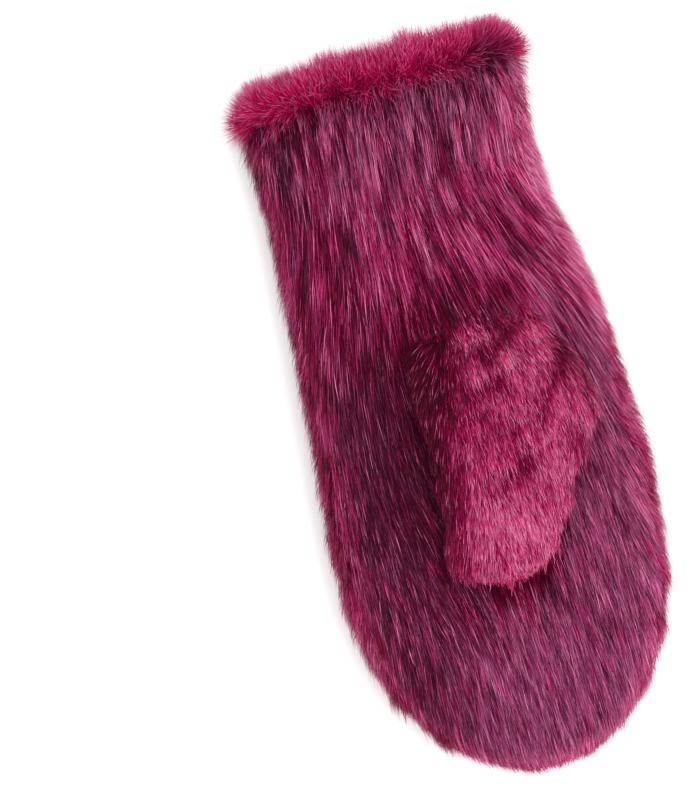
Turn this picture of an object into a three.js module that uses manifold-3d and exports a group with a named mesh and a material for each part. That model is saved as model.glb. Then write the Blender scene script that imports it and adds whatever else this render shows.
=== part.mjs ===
// A left-hand fur mitten lying palm up: fingertips towards -Y, cuff towards +Y, thumb side +X.
// Millimetres, +Z up. The origin is on the surface that it lies on, under the middle of the mitten.
// Each pelt is a leather wall with its fur fused to it, and the fur's outer form is in pointed locks.

import * as THREE from "three";
import { mergeVertices } from "three/addons/utils/BufferGeometryUtils.js";
import Module from "manifold-3d";

const wasm = await Module();
wasm.setup();

const { clamp, smoothstep, seededRandom } = THREE.MathUtils;

// Driving sizes of the body, fur included
const MITTEN_LENGTH = 300;
const PALM_WIDTH = 128;
const BODY_HEIGHT = 46;
const WIDEST_HEIGHT = 21;
const PANEL_SEAM_HEIGHT = 31;
const TIP_ROUND_LENGTH = 85;
const TIP_ROUND_HEIGHT = 30;
const FLATTENED_DEPTH = 1.5;

// Pelt: the leather wall and the depth of the fur that lies on it
const LEATHER = 1.5;
const FUR_DEPTH = 9;
const FUR_UNDER_THUMB = 3.5;
const SEAM_GAP = 0.3;

// Cuff hem: a strip of the pelt turned over the edge and into the mouth
const HEM_HEIGHT = 8;
const HEM_TURN_IN = 24;
const HEM_FACING = 3;
const HEM_SWELL = 1.5;

// Section of the hem's roll from its outer side to its inner one, at places across its width and
// up its height, as shares. The outer side swells out at a height of its own.
const HEM_ROLL = [
  { across: 0, up: 0.75 },
  { across: 0.25, up: 1 },
  { across: 0.62, up: 1 },
  { across: 0.94, up: 0.6 },
  { across: 1, up: 0 },
];
const HEM_SWELL_UP = 0.35;

// Thumb, which lies nestled in the palm's fur and points to the fingertips. Its collar rises from
// its floor by a share of its thickness.
const THUMB_LENGTH = 118;
const THUMB_WIDTH = 72;
const THUMB_THICKNESS = 28;
const THUMB_NESTLED = 2.5;
const THUMB_BASE_SUNK = 2.5;
const THUMB_TIP_ROUND = 24;
const THUMB_BASE_ROUND = 30;
const THUMB_HOLE_WIDTH = 52;
const THUMB_HOLE_LENGTH = 36;
const THUMB_COLLAR = 3;
const THUMB_COLLAR_RISE = 0.33;

// Locks of fur, each a ridged spindle
const LOCK_LENGTH = 38;
const LOCK_WIDTH = 17;
const LOCK_RIDGE = 2.4;
const LOCK_ROW_PITCH = 21;
const LOCK_PITCH = 16;
const HEM_LOCK_LENGTH = 16;
const HEM_LOCK_WIDTH = 13.5;

// How the locks lie. Shares of their own length, width or ridge, or of one unit of direction.
const THUMB_LOCK_SCALE = 0.75;
const LOCK_ROOT_SHARE = 0.4;
const LOCK_SUNK_SHARE = 0.7;
const LOCK_STEEP_LOSS = 0.8;
const LOCK_LIFT = 0.11;
const LOCK_FAN = 0.08;
const LOCK_WANDER = 0.1;
const LOCK_SIZE_SPREAD = 0.15;
const HEM_LOCK_LEAN = 0.5;

// Below this share of straight down, the mitten's weight flattens the fur and no lock stands.
const FLATTENED_BELOW = -0.55;

// Where each random draw of the locks starts
const BODY_SEED = 11;
const THUMB_SEED = 5021;
const HEM_SEED = 9043;

// Sections are rounded boxes: 2 is an ellipse, and a higher power is fuller at the corners.
const PALM_FULLNESS = 2.4;
const BACK_FULLNESS = 3;
const THUMB_FULLNESS = 2.2;

// Seen from above, from the round fingertips to the cuff: half widths as shares of half the palm
// width, and the height over the widest line as a share of its height at the palm.
const BODY_OUTLINE = [
  { along: 0.0, pinkySide: 0.97, thumbSide: 0.94, height: 0.96 },
  { along: 0.12, pinkySide: 0.985, thumbSide: 0.94, height: 0.97 },
  { along: 0.22, pinkySide: 0.985, thumbSide: 0.96, height: 0.99 },
  { along: 0.31, pinkySide: 0.985, thumbSide: 0.99, height: 1.0 },
  { along: 0.38, pinkySide: 0.97, thumbSide: 1.015, height: 1.0 },
  { along: 0.45, pinkySide: 0.935, thumbSide: 1.005, height: 1.0 },
  { along: 0.56, pinkySide: 0.88, thumbSide: 0.99, height: 0.99 },
  { along: 0.65, pinkySide: 0.835, thumbSide: 0.955, height: 0.96 },
  { along: 0.72, pinkySide: 0.815, thumbSide: 0.88, height: 0.9 },
  { along: 0.79, pinkySide: 0.79, thumbSide: 0.85, height: 0.86 },
  { along: 0.85, pinkySide: 0.785, thumbSide: 0.875, height: 0.87 },
  { along: 0.91, pinkySide: 0.8, thumbSide: 0.92, height: 0.91 },
  { along: 0.97, pinkySide: 0.82, thumbSide: 0.95, height: 0.94 },
];

// Folds gathered at the wrist of the palm. Each runs from one place to another, given across as
// shares of half the palm width and along as shares of the length, and its width and depth are
// shares of the palm's height over the widest line.
const WRIST_FOLDS = [
  { fromX: -0.52, fromY: 0.92, toX: -0.42, toY: 0.7, width: 0.28, depth: 0.14 },
  { fromX: -0.17, fromY: 0.9, toX: -0.06, toY: 0.68, width: 0.26, depth: 0.17 },
  { fromX: 0.18, fromY: 0.91, toX: 0.26, toY: 0.72, width: 0.24, depth: 0.18 },
  { fromX: 0.38, fromY: 0.88, toX: 0.52, toY: 0.68, width: 0.24, depth: 0.18 },
  { fromX: 0.55, fromY: 0.82, toX: 0.78, toY: 0.66, width: 0.22, depth: 0.14 },
];

// Thumb, from its tip to the arch of its base: sides as shares of the thumb's width either side of
// its middle line, and its upper face and widest line as shares of its thickness over its floor.
const THUMB_OUTLINE = [
  { along: 0.0, left: 0.33, right: 0.27, upper: 0.8, widest: 0.42 },
  { along: 0.18, left: 0.355, right: 0.35, upper: 0.86, widest: 0.43 },
  { along: 0.3, left: 0.35, right: 0.455, upper: 0.93, widest: 0.44 },
  { along: 0.43, left: 0.335, right: 0.555, upper: 0.99, widest: 0.45 },
  { along: 0.54, left: 0.325, right: 0.64, upper: 1.02, widest: 0.43 },
  { along: 0.66, left: 0.32, right: 0.64, upper: 1.02, widest: 0.38 },
  { along: 0.81, left: 0.35, right: 0.575, upper: 0.94, widest: 0.24 },
  { along: 1.0, left: 0.37, right: 0.56, upper: 0.72, widest: 0.02 },
];

// Creases across the back of the thumb near its base, in the same terms as the wrist's folds, with
// places as shares of the thumb's width and length, and widths and depths as shares of its width.
const THUMB_CREASES = [
  { fromX: -0.16, fromY: 0.66, toX: 0.38, toY: 0.8, width: 0.11, depth: 0.045 },
  { fromX: -0.14, fromY: 0.5, toX: 0.26, toY: 0.62, width: 0.1, depth: 0.04 },
];

// The thumb's middle line and base as shares of half the palm width and of the length, and the
// middle of its hole as shares of its own width and length from that middle line and base
const THUMB_PLACE = { across: 0.09, base: 0.625 };
const THUMB_HOLE_PLACE = { across: 0.12, fromBase: 0.24 };

// The shares of the thumb's length between which it leaves the fur and roots in the palm
const THUMB_CROTCH = 0.55;
const THUMB_ROOTED = 0.7;

// How finely the lofts are divided
const POINTS_AROUND_BODY = 32;
const POINTS_AROUND_CAVITY = 22;
const POINTS_AROUND_THUMB = 20;
const POINTS_AROUND_HOLE = 28;
const POINTS_AROUND_HEM = 28;
const POINTS_TO_DRAW_A_RING = 48;
const STATION_PITCH = 11;
const CAVITY_STATION_PITCH = 22;
const ROUND_END_SHARES = [0.004, 0.05, 0.18, 0.4, 0.68];

// Places that follow from the sizes
const LOCK_TIP_SHARE = 1 - LOCK_ROOT_SHARE;
const TIP_Y = -MITTEN_LENGTH / 2 + LOCK_LENGTH * (1 - LOCK_STEEP_LOSS) * LOCK_TIP_SHARE;
const HEM_TOP_Y = MITTEN_LENGTH / 2 - HEM_LOCK_LENGTH * LOCK_TIP_SHARE;
const HEM_SEAM_Y = HEM_TOP_Y - HEM_HEIGHT;
const HEM_SEAT_Y = HEM_SEAM_Y + SEAM_GAP;
const BODY_LOFT_END_Y = HEM_SEAM_Y + STATION_PITCH;
const CAVITY_LOFT_END_Y = HEM_SEAM_Y + CAVITY_STATION_PITCH;
const CAVITY_INSET = FUR_DEPTH + LEATHER;
const FACING_OUTER_INSET = CAVITY_INSET + SEAM_GAP;
const FACING_INNER_INSET = FACING_OUTER_INSET + HEM_FACING;
const HALF_PALM = PALM_WIDTH / 2;
const PALM_HEIGHT = BODY_HEIGHT - WIDEST_HEIGHT;
const BACK_DEPTH = WIDEST_HEIGHT + FLATTENED_DEPTH;
const THUMB_FLOOR = BODY_HEIGHT - THUMB_NESTLED;
const THUMB_MIDDLE_X = THUMB_PLACE.across * HALF_PALM;
const THUMB_BASE_Y = TIP_Y + THUMB_PLACE.base * MITTEN_LENGTH;
const THUMB_TIP_Y = THUMB_BASE_Y - THUMB_LENGTH;
const THUMB_HOLE_X = THUMB_MIDDLE_X + THUMB_HOLE_PLACE.across * THUMB_WIDTH;
const THUMB_HOLE_Y = THUMB_BASE_Y - THUMB_HOLE_PLACE.fromBase * THUMB_LENGTH;
const BEYOND_EVERYTHING = 4 * (MITTEN_LENGTH + PALM_WIDTH);

function smoothColumn(table, column) {
  const places = table.map((row) => row.along);
  const values = table.map((row) => row[column]);
  const curve = new THREE.CubicInterpolant(places, values, 1);
  return (along) => curve.evaluate(clamp(along, places[0], places[places.length - 1]))[0];
}

// The share of its full size that a round end has at this distance from its pole.
function roundEnd(distance, length) {
  if (distance >= length) return 1;
  const left = 1 - Math.max(distance, 0) / length;
  return Math.sqrt(Math.max(1 - left * left, 0));
}

// A closed ring in a plane across Y: a rounded box with its own reach to each side.
function ringCurve(y, { left, right, up, down, middleX, middleZ, upperFullness, lowerFullness }) {
  const points = [];
  for (let i = 0; i < POINTS_TO_DRAW_A_RING; i += 1) {
    const angle = (2 * Math.PI * (i + 0.5)) / POINTS_TO_DRAW_A_RING;
    const cosine = Math.cos(angle);
    const sine = Math.sin(angle);
    const power = sine > 0 ? upperFullness : lowerFullness;
    const scale = (Math.abs(cosine) ** power + Math.abs(sine) ** power) ** (-1 / power);
    const x = middleX + (cosine > 0 ? right : left) * cosine * scale;
    const z = middleZ + (sine > 0 ? up : down) * sine * scale;
    points.push(new THREE.Vector3(x, y, z));
  }
  return new THREE.CatmullRomCurve3(points, true);
}

function ringPoints(curve, count) {
  return curve.getSpacedPoints(count).slice(0, count);
}

// How deep a table's folds press in a face that looks up, at a place.
function foldDepth(folds, place, frame) {
  let depth = 0;
  for (const fold of folds) {
    const from = new THREE.Vector2(frame.x(fold.fromX), frame.y(fold.fromY));
    const to = new THREE.Vector2(frame.x(fold.toX), frame.y(fold.toY));
    const line = to.clone().sub(from);
    const here = new THREE.Vector2(place.x, place.y).sub(from);
    const share = clamp(here.dot(line) / line.lengthSq(), 0, 1);
    const away = here.sub(line.multiplyScalar(share)).length() / (fold.width * frame.unit);
    depth = Math.max(depth, fold.depth * frame.unit * Math.exp(-away * away));
  }
  return depth;
}

const bodyColumns = {
  pinkySide: smoothColumn(BODY_OUTLINE, "pinkySide"),
  thumbSide: smoothColumn(BODY_OUTLINE, "thumbSide"),
  height: smoothColumn(BODY_OUTLINE, "height"),
};

const bodyFrame = {
  x: (share) => share * HALF_PALM,
  y: (share) => TIP_Y + share * MITTEN_LENGTH,
  unit: PALM_HEIGHT,
};

// The body's ring at a station, drawn in by an inset: 0 is the fur's face, and CAVITY_INSET the
// inside of the leather.
function bodyRing(y, inset) {
  const along = (y - TIP_Y) / MITTEN_LENGTH;
  const fromTip = y - TIP_Y - inset;
  const sides = roundEnd(fromTip, TIP_ROUND_LENGTH - inset);
  const heights = roundEnd(fromTip, TIP_ROUND_HEIGHT - inset);
  return ringCurve(y, {
    left: (bodyColumns.pinkySide(along) * HALF_PALM - inset) * sides,
    right: (bodyColumns.thumbSide(along) * HALF_PALM - inset) * sides,
    up: (bodyColumns.height(along) * PALM_HEIGHT - inset) * heights,
    down: (BACK_DEPTH - inset) * heights,
    middleX: 0,
    middleZ: WIDEST_HEIGHT,
    upperFullness: PALM_FULLNESS,
    lowerFullness: BACK_FULLNESS,
  });
}

const thumbColumns = {
  left: smoothColumn(THUMB_OUTLINE, "left"),
  right: smoothColumn(THUMB_OUTLINE, "right"),
  upper: smoothColumn(THUMB_OUTLINE, "upper"),
  widest: smoothColumn(THUMB_OUTLINE, "widest"),
};

const thumbFrame = {
  x: (share) => THUMB_MIDDLE_X + share * THUMB_WIDTH,
  y: (share) => THUMB_TIP_Y + share * THUMB_LENGTH,
  unit: THUMB_WIDTH,
};

// The thumb's ring at a station. Its underside lies in the palm's fur, and deeper where the base is
// rooted.
function thumbRing(y, inset, underInset) {
  const along = (y - THUMB_TIP_Y) / THUMB_LENGTH;
  const fromTip = y - THUMB_TIP_Y - inset;
  const fromBase = THUMB_BASE_Y - y - inset;
  const ends =
    roundEnd(fromTip, THUMB_TIP_ROUND - inset) * roundEnd(fromBase, THUMB_BASE_ROUND - inset);
  const floor = THUMB_FLOOR - THUMB_BASE_SUNK * smoothstep(along, THUMB_CROTCH, THUMB_ROOTED);
  const top = THUMB_FLOOR + thumbColumns.upper(along) * THUMB_THICKNESS;
  const middleZ = THUMB_FLOOR + thumbColumns.widest(along) * THUMB_THICKNESS;
  return ringCurve(y, {
    left: (thumbColumns.left(along) * THUMB_WIDTH - inset) * ends,
    right: (thumbColumns.right(along) * THUMB_WIDTH - inset) * ends,
    up: (top - middleZ - inset) * ends,
    down: Math.max(middleZ - floor - underInset, LEATHER) * ends,
    middleX: THUMB_MIDDLE_X,
    middleZ,
    upperFullness: THUMB_FULLNESS,
    lowerFullness: THUMB_FULLNESS,
  });
}

// Stations from one end to the other, closer together towards each round end.
function stationsBetween(from, to, roundFrom, roundTo, pitch) {
  const start = from + roundFrom;
  const end = to - roundTo;
  const steps = Math.max(Math.ceil((end - start) / pitch), 1);
  const first = roundFrom ? ROUND_END_SHARES.map((share) => from + share * roundFrom) : [];
  const middle = Array.from({ length: steps + 1 }, (_, i) => start + ((end - start) * i) / steps);
  const last = roundTo ? ROUND_END_SHARES.map((share) => to - share * roundTo).reverse() : [];
  return [...first, ...middle, ...last];
}

function bareGeometry(positions) {
  const attribute = new THREE.Float32BufferAttribute(positions, 3);
  return new THREE.BufferGeometry().setAttribute("position", attribute);
}

// The corners of the band of triangles between two rings of as many points.
function bandBetween(ring, beyond) {
  return ring.flatMap((point, i) => {
    const next = (i + 1) % ring.length;
    return [point, beyond[i], ring[next], ring[next], beyond[i], beyond[next]];
  });
}

function coordinates(points) {
  return points.flatMap((point) => point.toArray());
}

// A closed solid through rings of as many points each. Each end is closed by a fan.
function loftRings(rings) {
  const corners = [];
  for (let r = 0; r + 1 < rings.length; r += 1) {
    corners.push(...bandBetween(rings[r], rings[r + 1]));
  }
  const middleOf = (ring) =>
    ring.reduce((sum, point) => sum.add(point), new THREE.Vector3()).divideScalar(ring.length);
  const first = rings[0];
  const last = rings[rings.length - 1];
  const firstMiddle = middleOf(first);
  const lastMiddle = middleOf(last);
  for (let i = 0; i < first.length; i += 1) {
    const next = (i + 1) % first.length;
    corners.push(firstMiddle, first[i], first[next]);
    corners.push(lastMiddle, last[next], last[i]);
  }
  return bareGeometry(coordinates(corners));
}

function toSolid(geometry) {
  const bare = geometry.clone();
  bare.deleteAttribute("normal");
  bare.deleteAttribute("uv");
  const merged = mergeVertices(bare, 1e-4);
  return new wasm.Manifold(
    new wasm.Mesh({
      numProp: 3,
      vertProperties: merged.attributes.position.array,
      triVerts: new Uint32Array(merged.index.array),
    }),
  );
}

function toGeometry(solid) {
  const { vertProperties, triVerts, numProp } = solid.getMesh();
  const positions = new Float32Array(triVerts.length * 3);
  triVerts.forEach((vertex, corner) => {
    for (let axis = 0; axis < 3; axis += 1) {
      positions[corner * 3 + axis] = vertProperties[vertex * numProp + axis];
    }
  });
  const geometry = bareGeometry(positions);
  geometry.computeVertexNormals();
  return geometry;
}

function joinAll(solids) {
  return solids.reduce((whole, solid) => whole.add(solid));
}

// Fills the small pockets that a lock closes in where it bridges a fold. A pocket is a part of the
// surface that turns inwards, so its volume counts as negative.
function withoutPockets(solid) {
  return joinAll(solid.decompose().filter((part) => part.volume() > 0));
}

// Blocks far larger than the mitten, for trimming: all that is above a height, or beyond a Y.
function allAbove(height) {
  const side = BEYOND_EVERYTHING;
  return toSolid(new THREE.BoxGeometry(side, side, side).translate(0, 0, height + side / 2));
}

function allBeyond(y) {
  const side = BEYOND_EVERYTHING;
  return toSolid(new THREE.BoxGeometry(side, side, side).translate(0, y + side / 2, 0));
}

// One pointed lock of fur, whose root is sunk in the surface. The steeper it stands, the shorter
// it is, as the hairs at an edge are seen. A clearance makes it larger all round.
function lockSolid(place, normal, direction, size, clearance = 0) {
  const steepness = Math.max(direction.dot(normal), 0);
  const length = size.length * (1 - LOCK_STEEP_LOSS * steepness);
  const across = new THREE.Vector3().crossVectors(direction, normal).normalize();
  const lift = new THREE.Vector3().crossVectors(across, direction).normalize();
  const endClearance = (clearance * size.length) / size.width;
  const rootReach = LOCK_ROOT_SHARE * length + endClearance;
  const tipReach = LOCK_TIP_SHARE * length + endClearance;
  const halfWidth = size.width / 2 + 2 * clearance;
  const sunk = LOCK_SUNK_SHARE * size.ridge + clearance;
  const at = (along, side, up) =>
    place
      .clone()
      .addScaledVector(direction, along)
      .addScaledVector(across, side)
      .addScaledVector(lift, up);
  const root = at(-rootReach, 0, -sunk);
  const tip = at(tipReach, 0, 0);
  const belly = [at(0, halfWidth, -sunk), at(0, 0, size.ridge + clearance), at(0, -halfWidth, -sunk)];
  const corners = belly.flatMap((corner, i) => {
    const next = belly[(i + 1) % belly.length];
    return [root, corner, next, tip, next, corner];
  });
  return toSolid(bareGeometry(coordinates(corners)));
}

// Places in staggered rows over a lofted surface, each with its outward normal.
function lockPlaces(ringAt, rows, pitch) {
  const NUDGE = 0.5;
  return rows.flatMap((y, row) => {
    const ring = ringAt(y);
    const before = ringAt(y - NUDGE);
    const after = ringAt(y + NUDGE);
    const count = Math.max(Math.round(ring.getLength() / pitch), 3);
    return Array.from({ length: count }, (_, i) => {
      const share = ((i + (row % 2) / 2) / count) % 1;
      const lengthwise = after.getPointAt(share).sub(before.getPointAt(share));
      const normal = lengthwise.cross(ring.getTangentAt(share)).normalize();
      return { place: ring.getPointAt(share), normal };
    });
  });
}

function rowsBetween(from, to, pitch) {
  const steps = Math.max(Math.round((to - from) / pitch), 1);
  return Array.from({ length: steps + 1 }, (_, i) => from + ((to - from) * i) / steps);
}

// A source of draws between -1 and 1 that gives the same ones each time it is started.
function wobbleFrom(seed) {
  let drawn = seed;
  return () => {
    drawn += 1;
    return 2 * seededRandom(drawn) - 1;
  };
}

// Fur lies towards the fingertips, lifted a little and fanned out towards the sides.
function lyingDirection(place, normal, wobble) {
  const sideways = (LOCK_FAN * place.x) / HALF_PALM + LOCK_WANDER * wobble();
  return new THREE.Vector3(sideways, -1, 0).addScaledVector(normal, LOCK_LIFT).normalize();
}

function lockSize(scale, wobble) {
  const size = scale * (1 + LOCK_SIZE_SPREAD * wobble());
  return { length: LOCK_LENGTH * size, width: LOCK_WIDTH * size, ridge: LOCK_RIDGE * scale };
}

// Moves a point of the body's upper face down into the wrist's folds.
function pressFolds(point) {
  const upper = smoothstep(point.z, WIDEST_HEIGHT, WIDEST_HEIGHT + PALM_HEIGHT / 2);
  point.z -= upper * foldDepth(WRIST_FOLDS, point, bodyFrame);
  return point;
}

function bodyLocks(isOwn) {
  const wobble = wobbleFrom(BODY_SEED);
  const firstRow = TIP_Y + LOCK_RIDGE;
  const lastRow = HEM_SEAM_Y - LOCK_ROOT_SHARE * LOCK_LENGTH;
  const rows = rowsBetween(firstRow, lastRow, LOCK_ROW_PITCH);
  return lockPlaces((y) => bodyRing(y, 0), rows, LOCK_PITCH)
    .filter(({ place, normal }) => normal.z > FLATTENED_BELOW && isOwn(place))
    .map(({ place, normal }) => {
      const direction = lyingDirection(place, normal, wobble);
      return lockSolid(pressFolds(place), normal, direction, lockSize(1, wobble));
    });
}

function bodyOuter() {
  const stations = stationsBetween(TIP_Y, BODY_LOFT_END_Y, TIP_ROUND_HEIGHT, 0, STATION_PITCH);
  const rings = stations.map((y) => ringPoints(bodyRing(y, 0), POINTS_AROUND_BODY).map(pressFolds));
  return toSolid(loftRings(rings));
}

function bodyCavity(inset) {
  const deepest = TIP_Y + inset;
  const round = TIP_ROUND_HEIGHT - inset;
  const stations = stationsBetween(deepest, CAVITY_LOFT_END_Y, round, 0, CAVITY_STATION_PITCH);
  const rings = stations.map((y) => ringPoints(bodyRing(y, inset), POINTS_AROUND_CAVITY));
  return toSolid(loftRings(rings));
}

// Moves a point of the thumb's upper face down into the creases.
function pressCreases(point) {
  const upper = smoothstep(point.z, THUMB_FLOOR, THUMB_FLOOR + THUMB_THICKNESS);
  point.z -= upper * foldDepth(THUMB_CREASES, point, thumbFrame);
  return point;
}

// The upright neck that carries the thumb through its hole in the palm, down to the palm's edge.
function thumbCollar(outset, clearance) {
  const bottom = PANEL_SEAM_HEIGHT + SEAM_GAP / 2 - clearance;
  const top = THUMB_FLOOR + THUMB_COLLAR_RISE * THUMB_THICKNESS;
  const reach = outset + clearance;
  const neck = new THREE.CylinderGeometry(1, 1, top - bottom, POINTS_AROUND_HOLE)
    .rotateX(Math.PI / 2)
    .scale(THUMB_HOLE_WIDTH / 2 + reach, THUMB_HOLE_LENGTH / 2 + reach, 1)
    .translate(THUMB_HOLE_X, THUMB_HOLE_Y, (top + bottom) / 2);
  return toSolid(neck);
}

// The thumb's outside, larger all round by a clearance where it cuts its seat in the palm.
function thumbOuter(clearance) {
  const stations = stationsBetween(
    THUMB_TIP_Y - clearance,
    THUMB_BASE_Y + clearance,
    THUMB_TIP_ROUND,
    THUMB_BASE_ROUND,
    STATION_PITCH,
  );
  const rings = stations.map((y) =>
    ringPoints(thumbRing(y, -clearance, -clearance), POINTS_AROUND_THUMB).map(pressCreases),
  );
  return toSolid(loftRings(rings)).add(thumbCollar(THUMB_COLLAR, clearance));
}

function thumbCavity() {
  const stations = stationsBetween(
    THUMB_TIP_Y + CAVITY_INSET,
    THUMB_BASE_Y - CAVITY_INSET,
    THUMB_TIP_ROUND - CAVITY_INSET,
    THUMB_BASE_ROUND - CAVITY_INSET,
    STATION_PITCH,
  );
  const rings = stations.map((y) =>
    ringPoints(thumbRing(y, CAVITY_INSET, FUR_UNDER_THUMB + LEATHER), POINTS_AROUND_THUMB),
  );
  return toSolid(loftRings(rings)).add(thumbCollar(0, SEAM_GAP));
}

// The thumb's locks stay over the palm's face, so that none reaches into the palm's fur.
function thumbLocks(clearance) {
  const wobble = wobbleFrom(THUMB_SEED);
  const firstRow = THUMB_TIP_Y + LOCK_RIDGE;
  const lastRow = THUMB_BASE_Y - THUMB_BASE_ROUND / 2;
  const rows = rowsBetween(firstRow, lastRow, LOCK_ROW_PITCH * THUMB_LOCK_SCALE);
  const locks = lockPlaces((y) => thumbRing(y, 0, 0), rows, LOCK_PITCH * THUMB_LOCK_SCALE)
    .filter(({ normal }) => normal.z > 0)
    .map(({ place, normal }) => {
      const direction = lyingDirection(place, normal, wobble);
      const size = lockSize(THUMB_LOCK_SCALE, wobble);
      return lockSolid(pressCreases(place), normal, direction, size, clearance);
    });
  return joinAll(locks).intersect(allAbove(BODY_HEIGHT + LOCK_RIDGE - clearance));
}

// The palm's locks keep clear of the thumb, under which the fur is pressed flat.
function clearOfThumb(place) {
  const beside = LOCK_WIDTH / 2;
  const behind = LOCK_LENGTH * LOCK_TIP_SHARE * (1 + LOCK_SIZE_SPREAD);
  const ahead = LOCK_LENGTH * LOCK_ROOT_SHARE * (1 + LOCK_SIZE_SPREAD);
  if (place.y < THUMB_TIP_Y - ahead || place.y > THUMB_BASE_Y + behind) return true;
  const along = (place.y - THUMB_TIP_Y) / THUMB_LENGTH;
  const left = THUMB_MIDDLE_X - thumbColumns.left(along) * THUMB_WIDTH - beside;
  const right = THUMB_MIDDLE_X + thumbColumns.right(along) * THUMB_WIDTH + beside;
  return place.x < left || place.x > right;
}

// The hem's section as it goes round the mouth: inset from the fur's face, and place along Y. The
// facing's outer side is drawn at the leather, and is then cut to lie just inside it.
function hemSection() {
  const facingEnd = HEM_SEAM_Y - HEM_TURN_IN;
  const height = HEM_TOP_Y - HEM_SEAT_Y;
  const roll = HEM_ROLL.map(({ across, up }) => ({
    inset: across * FACING_INNER_INSET,
    y: HEM_SEAT_Y + up * height,
  }));
  return [
    { inset: 0, y: HEM_SEAT_Y },
    { inset: -HEM_SWELL, y: HEM_SEAT_Y + HEM_SWELL_UP * height },
    ...roll,
    { inset: FACING_INNER_INSET, y: facingEnd + HEM_FACING / 2 },
    { inset: FACING_INNER_INSET - HEM_FACING / 2, y: facingEnd },
    { inset: CAVITY_INSET, y: facingEnd + HEM_FACING / 2 },
    { inset: CAVITY_INSET, y: HEM_SEAT_Y },
  ];
}

function hemRing() {
  const loops = hemSection().map(({ inset, y }) =>
    ringPoints(bodyRing(y, inset), POINTS_AROUND_HEM),
  );
  const corners = loops.flatMap((loop, i) => bandBetween(loop, loops[(i + 1) % loops.length]));
  const room = bodyCavity(FACING_OUTER_INSET).add(allBeyond(HEM_SEAT_Y));
  return toSolid(bareGeometry(coordinates(corners))).intersect(room);
}

// The hem's fur stands up from its rolled edge: the outer row leans outwards, and the inner row
// stands straight, half a step on.
function hemLocks() {
  const wobble = wobbleFrom(HEM_SEED);
  const rows = [
    { y: HEM_SEAM_Y + HEM_HEIGHT / 2, inset: -HEM_SWELL / 2, lean: HEM_LOCK_LEAN, turn: 0 },
    { y: HEM_TOP_Y - LOCK_RIDGE / 2, inset: FACING_INNER_INSET / 2, lean: 0, turn: 0.5 },
  ];
  const locks = rows.flatMap(({ y, inset, lean, turn }) => {
    const ring = bodyRing(y, inset);
    const count = Math.round(ring.getLength() / LOCK_PITCH);
    return Array.from({ length: count }, (_, i) => {
      const share = ((i + turn) / count) % 1;
      const outward = new THREE.Vector3(0, 1, 0).cross(ring.getTangentAt(share)).normalize();
      const direction = new THREE.Vector3(LOCK_WANDER * wobble(), 1, LOCK_WANDER * wobble())
        .addScaledVector(outward, lean)
        .normalize();
      return lockSolid(ring.getPointAt(share), outward, direction, {
        length: HEM_LOCK_LENGTH * (1 + LOCK_SIZE_SPREAD * wobble()),
        width: HEM_LOCK_WIDTH,
        ridge: LOCK_RIDGE,
      });
    });
  });
  return joinAll(locks).intersect(allBeyond(HEM_SEAT_Y));
}

const COLOURS = {
  palmFur: 0x7d3454,
  backFur: 0xa93e6b,
  thumbFur: 0xb2446f,
  hemFur: 0xb0255f,
};

function furMesh(name, solid, colour) {
  const material = new THREE.MeshStandardMaterial({ color: colour, roughness: 0.85, metalness: 0 });
  const mesh = new THREE.Mesh(toGeometry(solid), material);
  mesh.name = name;
  return mesh;
}

const surface = allAbove(0);
const cavity = bodyCavity(CAVITY_INSET);
const bodyFilled = bodyOuter();
const beyondHem = allBeyond(HEM_SEAM_Y);
const thumbFilled = (clearance) => thumbOuter(clearance).add(thumbLocks(clearance));

// A panel is the body's wall on its side of the seam, with its own locks.
function panel(isOwn) {
  return joinAll([bodyFilled, ...bodyLocks(isOwn)]).subtract(cavity).subtract(beyondHem);
}

const palmPanel = panel((place) => place.z > PANEL_SEAM_HEIGHT && clearOfThumb(place))
  .intersect(allAbove(PANEL_SEAM_HEIGHT + SEAM_GAP / 2))
  .subtract(thumbFilled(SEAM_GAP));
const backPanel = panel((place) => place.z <= PANEL_SEAM_HEIGHT)
  .subtract(allAbove(PANEL_SEAM_HEIGHT - SEAM_GAP / 2))
  .intersect(surface);
const thumb = thumbFilled(0).subtract(thumbCavity()).subtract(cavity);
const cuffHem = hemRing().add(hemLocks()).intersect(surface);

const mitten = new THREE.Group();
mitten.add(
  furMesh("back_panel", withoutPockets(backPanel), COLOURS.backFur),
  furMesh("palm_panel", withoutPockets(palmPanel), COLOURS.palmFur),
  furMesh("thumb", withoutPockets(thumb), COLOURS.thumbFur),
  furMesh("cuff_hem", cuffHem, COLOURS.hemFur),
);

export default mitten;
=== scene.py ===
# %% [markdown]
# # A mitten of dyed fur
# The mitten is a bag sewn from pelts: one over the back of the hand, one over the palm, a tube
# for the thumb, and a strip turned over the cuff. The CAD model gives the space that each pelt
# fills, with the fur as a firm layer. Here each pelt gets a thin undercoat skin, and hairs are
# laid on the skins, one narrow ribbon for each hair that the eye can make out. Real hair curves
# could be rendered too, but ribbons stay a mesh that any program can open.

# %% Load the solids
import math

import bmesh
import bpy
import numpy as np
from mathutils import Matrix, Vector, noise
from mathutils.bvhtree import BVHTree


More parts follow.
